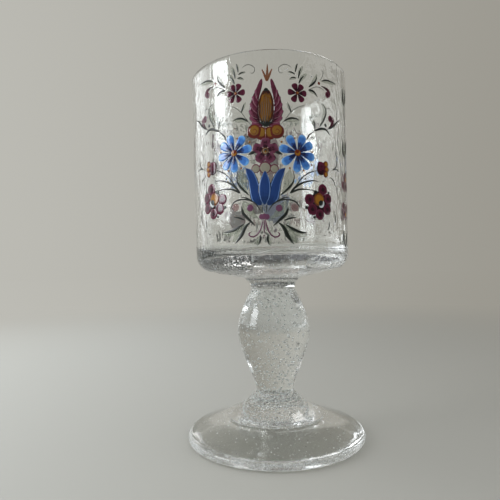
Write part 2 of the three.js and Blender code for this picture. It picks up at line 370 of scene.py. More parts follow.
class Motif:
    """One painted motif. Its strokes lie on the wall of the bowl, in millimetres across and up."""

    def __init__(self, side, across, up, hand=1):
        self.side = side
        self.across = across
        self.up = up
        self.hand = hand
        self.bm = bmesh.new()
        self.uv = self.bm.loops.layers.uv.new("Brush")
        self.underside = self.bm.verts.layers.float.new("Underside")
        self.paints = []
        self.coat = 0
        # Share of painted light on the paint's inner face: its colour brightened and paled
        self.underside_light = 1.0

    def over(self):
        """What follows is painted over what is there."""
        self.coat += 1

    def under(self):
        """What follows goes on one coat lower again."""
        self.coat -= 1

    def on_wall(self, x, z, lift):
        """Places a point of the drawing on the glass; x and z are from the rosette on the middle line."""
        along, sideways = math.cos(BOUQUET_LEAN), math.sin(BOUQUET_LEAN)
        across = x * along + z * sideways
        height = HEEL_Z + ROSETTE_UP + z * along - x * sideways
        r = wall_radius(height)
        turn = self.side + BOUQUET_TURN + across / r
        return Vector(((r + lift) * math.sin(turn), -(r + lift) * math.cos(turn), height))

    def lay(self, made, paint, place):
        """Moves the vertices of a new unit sphere to their place, and gives its faces a paint."""
        if paint not in self.paints:
            self.paints.append(paint)
        faces = {face for vert in made for face in vert.link_faces}
        marks = {}
        for vert in made:
            x, z, lift, marks[vert] = place(vert.co)
            # Sunk points are the paint's inner face, which gets painted light
            vert[self.underside] = self.underside_light if lift < -TINY else 0.0
            lift = lift + self.coat * COAT if lift > 0 else max(lift, -SINK)
            vert.co = self.on_wall(self.hand * (self.across + x) * MM, (self.up + z) * MM - ROSETTE_UP, lift)
        for face in faces:
            face.smooth = True
            face.material_index = self.paints.index(paint)
            for loop in face.loops:
                loop[self.uv].uv = marks[loop.vert]

    def stroke(self, paint, points, rings=14, sides=10):
        """A brush stroke through points of [across, up, half width], domed and closed at both ends."""
        made = bmesh.ops.create_uvsphere(self.bm, u_segments=sides, v_segments=rings, radius=1)["verts"]

        def place(co):
            t = (1 - max(-1.0, min(1.0, -co.z))) / 2
            x, z, half, dx, dz = along_line(points, t)
            ring = math.hypot(co.x, co.y)
            side, out, taper = 0, 0, 0
            if ring > TINY:
                side, out = co.x / ring, co.y / ring
                taper = math.sqrt(max(0.0, 1 - abs(2 * t - 1) ** BLUNTNESS))
            across = side * half * taper
            return x - dz * across, z + dx * across, out * taper * RELIEF, (t, 0.5 + 0.5 * side)

        self.lay(made, paint, place)

    def dab(self, paint, x, z, radius, sides=16, rings=8):
        """A round spot of paint; its brush mark runs from the middle to the rim."""
        made = bmesh.ops.create_uvsphere(self.bm, u_segments=sides, v_segments=rings, radius=1)["verts"]

        def place(co):
            reach = math.hypot(co.x, co.y)
            wave = math.sin(DAB_WAVES * math.atan2(co.y, co.x) / FULL_TURN)
            return x + co.x * radius, z + co.y * radius, co.z * RELIEF, (reach, 0.5 + 0.3 * wave)

        self.lay(made, paint, place)

    def done(self, name, node=None):
        bmesh.ops.recalc_face_normals(self.bm, faces=self.bm.faces)
        piece = finished(name, self.bm, [PAINTS[paint] for paint in self.paints])
        if node:
            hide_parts(node)
        return piece


def along_line(points, t):
    """Place, half width and direction at a share of a smooth line through the points."""
    spans = len(points) - 1
    at = min(t * spans, spans - TINY)
    i = int(at)
    f = at - i
    p0, p1, p2, p3 = (points[max(0, min(spans, k))] for k in (i - 1, i, i + 1, i + 2))
    value = [
        0.5 * (2 * b + (c - a) * f + (2 * a - 5 * b + 4 * c - d) * f * f + (3 * b - a - 3 * c + d) * f ** 3)
        for a, b, c, d in zip(p0, p1, p2, p3)
    ]
    slope = [
        (c - a) + 2 * (2 * a - 5 * b + 4 * c - d) * f + 3 * (3 * b - a - 3 * c + d) * f * f
        for a, b, c, d in zip(p0, p1, p2, p3)
    ]
    length = math.hypot(slope[0], slope[1]) or 1
    return value[0], value[1], max(value[2], THINNEST), slope[0] / length, slope[1] / length


# Nodes

SOFT = "SMOOTHSTEP"


class Nodes:
    """Short ways to build in one node tree. A value is a plain one or a socket."""

    def __init__(self, tree):
        self.tree = tree

    def put(self, value, socket):
        if isinstance(value, bpy.types.NodeSocket):
            self.tree.links.new(value, socket)
        else:
            socket.default_value = value

    def add(self, kind, values=(), **settings):
        node = self.tree.nodes.new("ShaderNode" + kind)
        for key, setting in settings.items():
            setattr(node, key, setting)
        for key, value in dict(values).items():
            self.put(value, node.inputs[key])
        return node

    def math(self, operation, *values):
        return self.add("Math", enumerate(values), operation=operation).outputs[0]

    def vector(self, operation, *values):
        return self.add("VectorMath", enumerate(values), operation=operation).outputs[0]

    def scaled(self, tint, amount):
        return self.add("VectorMath", {0: tint, "Scale": amount}, operation="SCALE").outputs[0]

    def mix(self, share, a, b):
        return self.add("Mix", {"Factor": share, "A": a, "B": b}, data_type="RGBA").outputs["Result"]

    def ramp(self, value, start, end, low=0, high=1, kind="LINEAR"):
        ends = {"Value": value, "From Min": start, "From Max": end, "To Min": low, "To Max": high}
        return self.add("MapRange", ends, interpolation_type=kind).outputs["Result"]

    def noise(self, place, scale, detail, distortion=0.0):
        values = {"Vector": place, "Scale": scale, "Detail": detail, "Distortion": distortion}
        return self.add("TexNoise", values).outputs[0]

    def parts(self, vector):
        return self.add("SeparateXYZ", {0: vector}).outputs

    def place(self):
        return self.add("TexCoord").outputs["Object"]

    def bump(self, height, strength, distance):
        values = {"Height": height, "Strength": strength, "Distance": distance}
        return self.add("Bump", values).outputs[0]

    def blend_shaders(self, share, a, b):
        """Two shaders, mixed, as the surface of this material."""
        mixed = self.add("MixShader", {0: share, 1: a, 2: b})
        self.put(mixed.outputs[0], self.tree.nodes["Material Output"].inputs["Surface"])


def new_material(name, values=()):
    """A material with some of its shader's values set, its nodes and its shader."""
    material = bpy.data.materials.new(name)
    material.use_nodes = True
    nodes = Nodes(material.node_tree)
    shader = material.node_tree.nodes["Principled BSDF"]
    for label, value in dict(values).items():
        shader.inputs[label].default_value = value
    return material, nodes, shader


def new_group(name, inputs, outputs):
    """A node group from labels with their first values, and labels of colours or heights that it puts out."""
    group = bpy.data.node_groups.new(name, "ShaderNodeTree")
    kinds = {float: "NodeSocketFloat", tuple: "NodeSocketColor", Vector: "NodeSocketVector"}
    for label, value in inputs.items():
        socket = group.interface.new_socket(label, in_out="INPUT", socket_type=kinds[type(value)])
        socket.default_value = value
    for label in outputs:
        kind = "NodeSocketFloat" if label == "Height" else "NodeSocketColor"
        group.interface.new_socket(label, in_out="OUTPUT", socket_type=kind)
    nodes = Nodes(group)
    given = group.nodes.new("NodeGroupInput").outputs
    return group, nodes, given, group.nodes.new("NodeGroupOutput").inputs


def colour(r, g, b):
    """A colour as the eye sees it on a screen, 0 to 255, as the renderer wants it."""
    return tuple(((v / 255 + 0.055) / 1.055) ** 2.4 if v > 10 else v / 3294.6 for v in (r, g, b)) + (1,)


# Paints

ENAMEL_IOR = 1.7
WHITE = (1, 1, 1, 1)
# Pale grey that the paint's inner face is mixed towards: painted light
UNDERSIDE_PALE_LIGHT = colour(222, 222, 216)
# How far apart bristle marks are along and across a stroke, and how far worn patches shift its bands
BRISTLES_ALONG, BRISTLES_ACROSS = 2.5, 16
PATCH_SCALE = 900
WEAR_ALONG, WEAR_ACROSS = 0.35, 0.14
# How softly the bands of a stroke set in, and where its edge ends
TAIL_SOFT, TIP_SOFT, EDGE_SOFT, LINE_SOFT = 0.18, 0.22, 0.08, 0.03
EDGE_END = 0.97
BRUSH_RELIEF = 0.05 * MM


def brush_group():
    """Fired enamel: a tail, a body and a tip along the stroke, an edge across it, and bristle marks. Its
    inner face, seen through the glass, is painted lighter and paler: painted light.
    """
    colours = dict.fromkeys(("Tail", "Body", "Tip", "Edge", "Line"), WHITE)
    sizes = {"Tail Length": 0.2, "Tip Start": 0.8, "Edge Width": 0.15, "Line Width": 0.0, "Streaks": 0.3}
    group, nodes, given, out = new_group("brushed_enamel", colours | sizes, ("Color", "Height"))
    along, across = nodes.parts(nodes.add("UVMap", uv_map="Brush").outputs[0])[:2]
    spread = nodes.math("ABSOLUTE", nodes.math("SUBTRACT", nodes.math("MULTIPLY", across, 2), 1))
    patch = nodes.math("SUBTRACT", nodes.noise(nodes.place(), PATCH_SCALE, 2), 0.5)
    mark_along = nodes.math("MULTIPLY", along, BRISTLES_ALONG)
    mark_across = nodes.math("MULTIPLY", across, BRISTLES_ACROSS)
    bristle = nodes.noise(nodes.add("CombineXYZ", {0: mark_along, 1: mark_across}).outputs[0], 1, 2)

    def beyond(value, start, softness):
        """0 before a start along or across the stroke, 1 a little after it."""
        return nodes.ramp(value, start, nodes.math("ADD", start, softness), kind=SOFT)

    along = nodes.math("ADD", along, nodes.math("MULTIPLY", patch, WEAR_ALONG))
    spread = nodes.math("ADD", spread, nodes.math("MULTIPLY", patch, WEAR_ACROSS))
    edge_start = nodes.math("SUBTRACT", EDGE_END, given["Edge Width"])
    line_start = nodes.math("SUBTRACT", edge_start, given["Line Width"])
    has_line = nodes.math("GREATER_THAN", given["Line Width"], 0.001)
    inner_line = nodes.math("MULTIPLY", beyond(spread, line_start, LINE_SOFT), has_line)
    paint = nodes.mix(beyond(along, given["Tail Length"], TAIL_SOFT), given["Tail"], given["Body"])
    paint = nodes.mix(beyond(along, given["Tip Start"], TIP_SOFT), paint, given["Tip"])
    paint = nodes.mix(inner_line, paint, given["Line"])
    paint = nodes.mix(beyond(spread, edge_start, EDGE_SOFT), paint, given["Edge"])
    darkest = nodes.math("SUBTRACT", 1, given["Streaks"])
    lightest = nodes.math("ADD", 1, given["Streaks"])
    paint = nodes.scaled(paint, nodes.ramp(bristle, 0.3, 0.7, darkest, lightest))
    # Painted light on the paint's inner face, seen through the glass: its colour brightened up to twice and
    # mixed towards pale grey
    below = nodes.add("Attribute", attribute_name="Underside").outputs["Fac"]
    paint = nodes.scaled(paint, nodes.math("ADD", below, 1))
    nodes.put(nodes.mix(nodes.math("MULTIPLY", below, 0.5), paint, UNDERSIDE_PALE_LIGHT), out["Color"])
    nodes.put(bristle, out["Height"])
    return group


BRUSH = brush_group()


def enamel(name, body, tail=None, tip=None, edge=None, line=None, tail_length=0.15, tip_start=0.8,
           edge_width=0.1, line_width=0.0, streaks=0.2, alpha=1.0, roughness=0.09):
    """A paint; the colours that aren't given are its body's."""
    values = {"Roughness": roughness, "Alpha": alpha, "IOR": ENAMEL_IOR}
    material, nodes, shader = new_material(name, values)
    colours = {"Body": body, "Tail": tail, "Tip": tip, "Edge": edge, "Line": line}
    brushed = {label: colour(*(value or body)) for label, value in colours.items()}
    brushed |= {"Tail Length": tail_length, "Tip Start": tip_start, "Streaks": streaks}
    brushed |= {"Edge Width": edge_width, "Line Width": line_width}
    brush = nodes.add("Group", brushed, node_tree=BRUSH).outputs
    nodes.put(brush["Color"], shader.inputs["Base Color"])
    nodes.put(nodes.bump(brush["Height"], 0.25, BRUSH_RELIEF), shader.inputs["Normal"])
    return material


MAROON = (74, 22, 42)
OCHRE = (126, 84, 30)
RECIPES = {
    "petal_blue": dict(
        body=(64, 116, 190), tail=(24, 42, 92), tip=(104, 162, 222), edge=(150, 190, 230),
        tail_length=0.3, tip_start=0.62, edge_width=0.15,
    ),
    "blue_shadow": dict(body=(16, 26, 58), tip=(34, 62, 124), tip_start=0.45, streaks=0.1),
    "tulip_blue": dict(
        body=(30, 60, 116), tail=(24, 48, 92), tip=(22, 42, 84), edge=(8, 12, 28),
        line=(108, 142, 194), edge_width=0.17, line_width=0.1, streaks=0.12,
    ),
    "petal_maroon": dict(
        body=MAROON, tail=(44, 12, 26), tip=(92, 32, 56), edge=(44, 12, 26),
        tail_length=0.25, tip_start=0.62, edge_width=0.16,
    ),
    "rosette_maroon": dict(
        body=(88, 42, 60), tail=(48, 16, 30), tip=(106, 58, 78), edge=(46, 16, 30),
        tail_length=0.25, tip_start=0.55, edge_width=0.16,
    ),
    "deep_maroon": dict(body=(40, 12, 22), streaks=0.1),
    "wing_maroon": dict(
        body=(82, 30, 48), tail=(54, 16, 30), tip=(96, 42, 62), edge=(44, 12, 26),
        tail_length=0.2, tip_start=0.6, edge_width=0.18,
    ),
    "wing_feather": dict(
        body=(104, 48, 68), tail=(66, 22, 38), tip=(118, 62, 84), edge=(48, 14, 28),
        tail_length=0.2, tip_start=0.5, edge_width=0.3,
    ),
    "pod_ochre": dict(
        body=OCHRE, tail=(40, 24, 18), tip=(44, 16, 20), edge=(70, 34, 18),
        tail_length=0.08, tip_start=0.58, edge_width=0.3, streaks=0.12,
    ),
    "pod_streak": dict(body=(58, 28, 14), roughness=0.5),
    "cup_ochre": dict(body=(146, 98, 30), streaks=0.12),
    "scallop_rim": dict(body=(92, 34, 26)),
    "scallop_ochre": dict(body=(130, 92, 34), tip=(104, 60, 26), tip_start=0.7, streaks=0.15),
    "eye_ochre": dict(body=(152, 102, 28), tip=(104, 54, 22), tip_start=0.6, streaks=0.1),
    "eye_pale": dict(body=(150, 128, 98), tip=(92, 60, 46), tip_start=0.6, streaks=0.1),
    "red_brown": dict(body=(104, 40, 24)),
    "crest_orange": dict(body=(124, 78, 52), tip=(100, 52, 38), alpha=0.85),
    "pale_scale": dict(body=(150, 146, 130), streaks=0.1, alpha=0.85),
    "mauve": dict(body=(104, 62, 88), edge=(78, 36, 64)),
    "red_wash": dict(body=(120, 66, 66), edge=(104, 50, 56), alpha=0.45),
    "scroll_mauve": dict(body=(92, 50, 74)),
    "leaf_dark": dict(body=(20, 28, 24), tip=(40, 52, 44), streaks=0.3, roughness=0.3),
    "leaf_wash": dict(body=(112, 122, 98), tip=(96, 108, 84), edge=(70, 82, 66), streaks=0.25, alpha=0.32),
    "stem_line": dict(body=(28, 36, 32)),
    "pale_line": dict(body=(150, 104, 116)),
    "white_dot": dict(body=(200, 206, 208), streaks=0.05),
}
PAINTS = {name: enamel(name, **recipe) for name, recipe in RECIPES.items()}


# The motifs of the bouquet, in millimetres from each motif's own place

# Half width of a brush line's ends, as a share of the line's own
LINE_END = 0.55


def spoke(angle, start, reach, half):
    """A petal's line from a flower's middle, widest near its round end."""
    turn = math.radians(angle)
    points = []
    for at, share in ((0, 0.3), (0.3, 0.62), (0.62, 1), (0.86, 0.98), (1, 0.55)):
        r = start + (reach - start) * at
        points.append((r * math.cos(turn), r * math.sin(turn), half * share))
    return points


def leaves(motif, washes, darks):
    """Washed leaves, and the dark strokes of a loaded brush over them."""
    for points in washes:
        motif.stroke("leaf_wash", points)
    motif.over()
    for points in darks:
        motif.stroke("leaf_dark", points, sides=8)
    motif.under()


def lines(motif, paint, strokes, half=0.16):
    """Thin brush lines; the first and the last point of each are about half as wide."""
    for points in strokes:
        widths = [half * LINE_END] + [half] * (len(points) - 2) + [half * LINE_END]
        motif.stroke(paint, [(x, z, width) for (x, z), width in zip(points, widths)], sides=6)


def flower(motif, paint, angles, reach, half, eye):
    """The petals of a flower, one for each angle, with room for its eye."""
    for angle in angles:
        motif.stroke(paint, spoke(angle, eye * 0.5, reach, half))
    motif.over()


def pod(motif):
    shares = ((0, 0.3), (0.1, 0.7), (0.3, 0.95), (0.55, 1), (0.8, 0.74), (0.95, 0.44), (1, 0.2))
    motif.stroke("pod_ochre", [(0, 14.1 * up, 3.25 * half) for up, half in shares], rings=20, sides=16)
    motif.over()
    streaks = (
        (-2.3, 3.2, 9.4), (-1.4, 2, 11), (-0.5, 1.4, 11.8), (0.4, 1.8, 11.6), (1.3, 2.2, 10.8), (2.2, 3.4, 9),
    )
    for x, low, high in streaks:
        points = [(x * 0.6, low, 0.1), (x, (low + high) / 2, 0.2), (x * 0.62, high, 0.08)]
        motif.stroke("pod_streak", points, sides=6)
    motif.stroke("leaf_dark", [(-0.9, 13.2, 0.2), (-0.1, 13.9, 0.75), (0.8, 13.3, 0.2)], sides=8)
    fan = ((-3.4, 1.6), (-2.3, 2.7), (-1.2, 3.3), (-0.1, 3.6), (1, 3.3), (2.1, 2.7), (3.3, 1.7))
    for x, z in fan:
        motif.stroke("leaf_dark", [(0, -0.9, 0.55), (x * 0.6, 0.6, 0.33), (x, z, 0.11)], rings=10, sides=8)


def wing(motif):
    body = (
        (1.2, -0.8, 0.7), (3.4, 0.8, 1.5), (4.7, 3.6, 1.8), (4.9, 6.6, 1.8), (4.3, 10.4, 1.5),
        (3.2, 13.6, 1.15), (2.5, 15.8, 0.95), (2.1, 17.4, 0.7), (1.9, 18.3, 0.35),
    )
    motif.stroke("wing_maroon", body, rings=20)
    feathers = (
        ((1.4, -0.2, 0.5), (3.6, -0.2, 1.05), (5.6, 0.9, 0.9)),
        ((2.4, 1, 0.5), (4.7, 1.6, 1.05), (6.4, 3.3, 0.85)),
        ((3, 2.6, 0.5), (5.2, 3.8, 1.05), (6.7, 5.9, 0.75)),
        ((3.2, 4.8, 0.5), (5.1, 6.6, 1), (6.3, 8.7, 0.65)),
        ((3.2, 7.2, 0.45), (4.7, 9.2, 0.9), (5.4, 11.4, 0.55)),
        ((3, 9.8, 0.4), (3.9, 11.9, 0.8), (4.2, 14, 0.5)),
    )
    for points in feathers:
        motif.stroke("wing_feather", points)
    motif.over()
    under_feather = ((0.2, -0.5), (0.1, -0.7), (-0.2, -1.1))
    for points in feathers:
        line = [(x + dx, z + dz) for (x, z, _), (dx, dz) in zip(points, under_feather)]
        lines(motif, "pale_line", [line], half=0.13)


def scallops(motif):
    inner = ((-1.8, -0.7, 2.7), (1.8, -0.7, 2.7))
    outer = ((-4.5, 0.1, 3), (4.5, 0.1, 3))
    for discs in (inner, outer):
        for x, z, r in discs:
            motif.dab("scallop_rim", x, z, r)
        motif.over()
        for x, z, r in discs:
            motif.dab("scallop_ochre", x, z + 0.35, r * 0.74)
        motif.over()
    for x, z, r in outer:
        swirl = ((-0.4, -0.1), (0, -0.4), (0.35, 0), (0, 0.3), (-0.15, 0))
        lines(motif, "red_brown", [[(x + r * dx, z + r * dz) for dx, dz in swirl]], half=0.16)
    lines(motif, "red_brown", [[(0, 1.4), (0.1, -1), (0, -2.8)]], half=0.2)


def rosette(motif):
    for i in range(5):
        turn = math.radians(90 + 72 * i)
        motif.stroke("rosette_maroon", spoke(90 + 72 * i, 0.8, 5.3, 2.05))
        motif.dab("rosette_maroon", 3.3 * math.cos(turn), 3.3 * math.sin(turn), 2.05)
    motif.over()
    motif.dab("eye_pale", 0, 0, 1.45)
    motif.over()
    motif.dab("leaf_dark", 0.1, 0.1, 0.8)
    motif.over()
    motif.dab("eye_ochre", 0.1, -0.2, 0.45)


def tulip(motif):
    side = (
        (-1.2, -0.1, 0.6), (-2.1, 1.1, 2), (-3.1, 3.2, 2.7), (-3.8, 5.6, 2.5),
        (-4.6, 8.8, 2.1), (-5.4, 11.2, 1.9), (-6.5, 13.2, 1.6), (-8.1, 14.9, 0.25),
    )
    motif.stroke("tulip_blue", side, rings=22, sides=14)
    motif.stroke("tulip_blue", [(-x, z, half) for x, z, half in side], rings=22, sides=14)
    motif.over()
    middle = ((0, 0.1, 0.8), (0, 3, 2.3), (0, 6.8, 2.65), (0, 10, 2), (0, 12.2, 1), (0, 14.1, 0.15))
    motif.stroke("tulip_blue", middle, rings=20, sides=14)


def knot(motif):
    motif.dab("mauve", -1, 0, 1.15)
    motif.dab("mauve", 1, 0, 1.15)
    motif.over()
    motif.dab("mauve", 0, 0.15, 1.15)
    motif.under()
    scroll = ((0.3, 0), (1, -3.6), (2.3, -6.6), (4.2, -8), (5.8, -7.6), (6.1, -6.6), (5.3, -6.1))
    for hand in (1, -1):
        lines(motif, "scroll_mauve", [[(hand * x, z) for x, z in scroll]], half=0.34)
        lines(motif, "stem_line", [[(hand * 0.5, 1.2), (hand * 0.9, 3.2), (hand * 0.6, 4.8)]], half=0.22)
    lines(motif, "scroll_mauve", [[(0.1, -1), (0.1, -3.6), (0, -6.4)]], half=0.34)
    motif.dab("scroll_mauve", 0, -7.5, 0.3)
    motif.dab("scroll_mauve", 0, -8.4, 0.22)
    lines(motif, "stem_line", [[(0, 1.2), (0, 4.6)]], half=0.2)


def daisy(motif):
    angles = (350, 34, 72, 122, 167, 217, 268, 307)
    flower(motif, "petal_blue", angles, 7.8, 1.75, 1.3)
    for angle in angles:
        motif.stroke("blue_shadow", spoke(angle + 2, 0.8, 4.7, 0.46), sides=6)
    motif.over()
    motif.dab("eye_ochre", 0, 0, 1.45)
    motif.over()
    motif.dab("red_brown", -0.2, 0.45, 0.8)


def floret(motif):
    flower(motif, "petal_maroon", (178, 113, 60, 4, -52, -118), 4.1, 1.3, 1)
    motif.dab("red_brown", 0, 0, 0.7)
    motif.over()
    motif.dab("eye_ochre", 0.1, 0.1, 0.4)


def low_leaves(motif):
    washes = (
        ((-0.9, 1.8, 0.3), (2.3, 4, 1.5), (4.3, 6.6, 1.9), (5.7, 9.1, 0.3)),
        ((3.2, -0.2, 0.3), (6.8, -3.6, 1.7), (10, -7.6, 0.5)),
        ((6.7, -1.3, 0.3), (10.5, -4.1, 1.1), (15.3, -4.2, 0.3)),
    )
    darks = (
        ((0.4, -1.1, 0.2), (3.1, 1.5, 0.55), (5.6, 4.1, 0.6), (6.3, 7, 0.12)),
        ((2.4, 0.4, 0.25), (4.6, -1.7, 0.7), (6.2, -4.9, 0.8), (8.9, -8.3, 0.15)),
        ((5.1, -0.3, 0.2), (8.6, -2.3, 0.65), (11.7, -3.3, 0.5), (14.5, -3.4, 0.15)),
        ((4.7, 1.2, 0.2), (7.1, 2.1, 0.36), (9.7, 2.6, 0.15)),
    )
    leaves(motif, washes, darks)


def bloom(motif):
    motif.dab("deep_maroon", -0.3, 0.9, 4.6)
    motif.over()
    petals = (
        (1.2, 6.1, 2.5), (-5.4, 1.6, 2.3), (-4, -2.3, 2.4),
        (-0.3, -4.1, 2.3), (3.8, -1.7, 2.3), (4.2, 2.7, 2.3),
    )
    for x, z, r in petals:
        motif.dab("petal_maroon", x, z, r)
    for x, z, r in ((-2.5, 4.6, 1), (-6.8, -1.8, 0.7), (5.3, 0.4, 0.6), (-3, -5.4, 0.6), (4.5, 5.3, 0.6)):
        motif.dab("leaf_dark", x, z, r)
    motif.over()
    motif.dab("eye_ochre", -0.8, 1.9, 2.9)
    motif.over()
    motif.dab("leaf_dark", 0.1, 0.5, 1.35)
    motif.over()
    glint = ((-0.9, -0.5, 0.1), (0, -1, 0.45), (1.1, -0.4, 0.45), (1.5, 0.8, 0.35), (1.2, 1.6, 0.1))
    motif.stroke("white_dot", glint)


def half_bloom(motif):
    motif.stroke("petal_maroon", [(-1, -2.1, 1.6), (-1, 0.8, 2.3), (-1, 3.5, 1.6)])
    motif.over()
    lobes = ((1.7, 2.8, 1.4), (2.1, 0.7, 1.4), (1.7, -1.4, 1.4))
    for x, z, r in lobes:
        motif.dab("scallop_rim", x, z, r)
    motif.over()
    for x, z, r in lobes:
        motif.dab("cup_ochre", x + 0.1, z, r * 0.66)


def bud(motif, comma, head):
    motif.stroke("petal_maroon", comma)
    motif.over()
    motif.dab("petal_maroon", *head)


def low_bud(motif):
    comma = ((-1.1, -3.7, 0.12), (0.8, -2.5, 0.45), (2.4, -0.7, 0.9), (2.7, 1, 1.2), (1.4, 1.5, 1))
    bud(motif, comma, (1.2, 1.3, 1.5))


def high_bud(motif):
    comma = ((-4.8, 1.8, 0.12), (-2.3, 1.5, 0.5), (-0.3, 0.8, 0.9), (0.3, -0.5, 1.1), (-0.9, -1.2, 0.8))
    bud(motif, comma, (-0.8, -1, 1.3))


# The thin paint between the motifs, in millimetres from the middle line and the heel; the crest's is from
# its own place

CREST = (
    ((0.1, -0.7, 0.35), (-0.4, 0.9, 0.5), (-1.9, 4.2, 0.25)),
    ((0.2, -0.7, 0.35), (0.3, 1.6, 0.55), (0.3, 6.2, 0.2)),
    ((0.3, -0.7, 0.35), (0.9, 1.1, 0.5), (2.2, 4.3, 0.25)),
)
TOP_WASHES = (
    ((11.6, 73.8, 0.15), (12, 75.7, 0.5), (12.5, 77.3, 0.2)),
    ((12.9, 71.6, 0.15), (13.8, 74.3, 0.8), (15, 76.6, 0.35)),
    ((13.3, 69.3, 0.15), (14.8, 71.8, 0.95), (16.8, 73.7, 0.45)),
    ((11.5, 72.9, 0.15), (10.1, 73.3, 0.5), (8.5, 73.3, 0.25)),
    ((12, 71, 0.15), (10.8, 71, 0.5), (9.2, 70.3, 0.25)),
    ((7.4, 53.2, 0.15), (9.6, 53.9, 0.85), (11.7, 54.1, 0.8), (13.6, 54, 0.15)),
    ((9.9, 57.4, 0.12), (9.1, 59.3, 0.6), (8.4, 61.2, 0.25)),
)
TOP_DARKS = (
    ((11.7, 73.6, 0.2), (12.1, 75.4, 0.32), (12.6, 77.2, 0.2)),
    ((13, 71.2, 0.28), (13.5, 73.6, 0.34), (14.1, 75.6, 0.12)),
    ((13.3, 69.1, 0.28), (14.1, 71, 0.36), (15.5, 72.7, 0.12)),
    ((11.6, 72.7, 0.25), (10.4, 73.3, 0.3), (8.8, 73.6, 0.1)),
    ((12.1, 71.2, 0.2), (10.8, 71.4, 0.3), (9.4, 70.8, 0.1)),
    ((7.1, 53.2, 0.15), (9.4, 54.6, 0.42), (11.8, 54.9, 0.36), (13.8, 54.2, 0.12)),
    ((10.1, 57.2, 0.3), (9.5, 59, 0.3), (8.9, 60.6, 0.1)),
    ((3.9, 40.9, 0.25), (5.2, 40.7, 0.65), (6.9, 40, 0.15)),
)
TOP_LINES = (
    ((10.2, 75.1), (8.6, 76.2), (6.6, 76.2), (4.9, 74.9), (4.8, 73.5), (5.6, 72.7), (6.7, 73)),
    ((5.6, 51.4), (8.1, 54.5), (9.9, 57), (12.7, 59.3), (16.4, 60.9)),
)
SIDE_WASHES = (
    ((17.8, 68.6, 0.2), (19.9, 70.9, 0.8), (21.2, 72.9, 0.85), (21.6, 74.7, 0.25)),
    ((17.7, 66.9, 0.4), (19.1, 66.9, 0.8), (20.7, 66.3, 0.5), (22, 65.2, 0.12)),
    ((24.2, 72.2, 0.15), (27.2, 72.9, 0.75), (30.6, 73.3, 0.6), (33.8, 73.8, 0.12)),
    ((20.6, 52, 0.15), (19.9, 54.5, 0.8), (18.2, 56.5, 0.5)),
    ((23.4, 53.2, 0.15), (25.4, 57.2, 0.9), (26.1, 60.6, 0.95), (24.2, 63.1, 0.3)),
    ((18.6, 47.6, 0.25), (19.8, 48, 0.5), (20.9, 48.2, 0.15)),
)
SIDE_DARKS = (
    ((17.7, 68.4, 0.25), (19.9, 70.3, 0.5), (21.2, 71.9, 0.3), (21.8, 74.2, 0.1)),
    ((17.6, 67.2, 0.35), (19.2, 67.3, 0.5), (20.9, 66.6, 0.35), (22.1, 65.1, 0.1)),
    ((24.2, 72.4, 0.2), (27, 73.5, 0.4), (30.2, 73.9, 0.3), (33.8, 73.9, 0.08)),
    ((20.9, 51.9, 0.3), (20.7, 54, 0.35), (20.2, 55.3, 0.1)),
    ((23.3, 53, 0.3), (26, 57, 0.4), (27, 60.6, 0.25), (24.9, 63.3, 0.1)),
    ((20.4, 50.8, 0.35), (24.3, 52.5, 0.55), (27.2, 52.5, 0.45), (29.3, 50.9, 0.2)),
    ((28.8, 53.3, 0.35), (32.3, 55.5, 0.5), (35.1, 58.1, 0.35), (38.5, 59.5, 0.1)),
    ((17, 46.6, 0.2), (17.9, 48.5, 0.35), (20.3, 50.6, 0.15)),
)
SIDE_LINES = (
    ((17.5, 67.2), (20.7, 69), (23.3, 69.5), (26.2, 68.8)),
    ((23.3, 72.3), (24.7, 74.4), (25.2, 76.3), (24.2, 77.1)),
    ((26.6, 61), (28.4, 62), (30.4, 61.4)),
)
TULIP_WASHES = (
    ((6.6, 24, 0.3), (8.9, 27.2, 1.7), (9.5, 30.6, 2.1), (10, 34.4, 0.3)),
)
TULIP_DARKS = (
    ((6.2, 23.6, 0.3), (9.8, 27, 0.5), (11.5, 29.5, 0.3), (11.7, 31.8, 0.2), (11, 34.2, 0.1)),
    ((10.1, 24.6, 0.45), (12.4, 27.3, 0.5), (15.9, 29.4, 0.35), (20.1, 30.5, 0.25), (23.3, 30.2, 0.1)),
    ((10.3, 24.7, 0.4), (13.5, 26.3, 0.4), (17.5, 26.7, 0.25), (21.9, 26.2, 0.2)),
    ((10.9, 25.4, 0.25), (12.8, 28.1, 0.25), (15.5, 31.6, 0.2), (18.7, 33.7, 0.25), (22.3, 34.9, 0.15)),
    ((5.4, 21.6, 0.3), (7.6, 22.7, 0.25), (9.8, 23, 0.1)),
    (
        (1.5, 17.2, 0.15), (3.3, 20.1, 0.3), (6.2, 21.8, 0.3), (9.8, 22.1, 0.3),
        (12.8, 21.2, 0.3), (14.6, 18.4, 0.12),
    ),
)
BLOOM_TWIGS = (
    ((31.2, 36.7), (33.2, 37.6), (34.4, 39.2), (34.8, 42.4)),
    ((31.5, 36.5), (34, 37.2), (36.8, 36.5)),
    ((29.6, 33.1), (32.2, 31.8), (32.8, 30)),
    ((25.6, 8.4), (27.2, 8.7)),
    ((28.6, 10.3), (30, 9.7)),
    ((28.2, 10.8), (29, 12.6), (29, 14.4)),
    ((32.7, 13.1), (33.3, 16.2), (32.3, 19.4)),
    ((33.8, 11.7), (35.8, 12.9)),
)
DOTS = (
    (6.4, 45, "eye_ochre"), (11.7, 46.8, "eye_ochre"), (19.7, 42.1, "eye_ochre"), (19.4, 36.7, "eye_ochre"),
    (15.7, 34.1, "eye_ochre"), (9.9, 34.7, "eye_ochre"), (16.7, 30.8, "leaf_dark"), (7.2, 47.2, "leaf_dark"),
)


def crest(motif):
    for points in CREST:
        motif.stroke("crest_orange", points, sides=8)


def scales(motif):
    discs = ((-3.7, 0, 1.8), (3.7, 0, 1.8), (0, 0.4, 2.5))
    for x, z, r in discs:
        motif.dab("petal_maroon", x, z, r)
    motif.over()
    for x, z, r in discs:
        motif.dab("pale_scale", x, z - 0.1, r * 0.86)


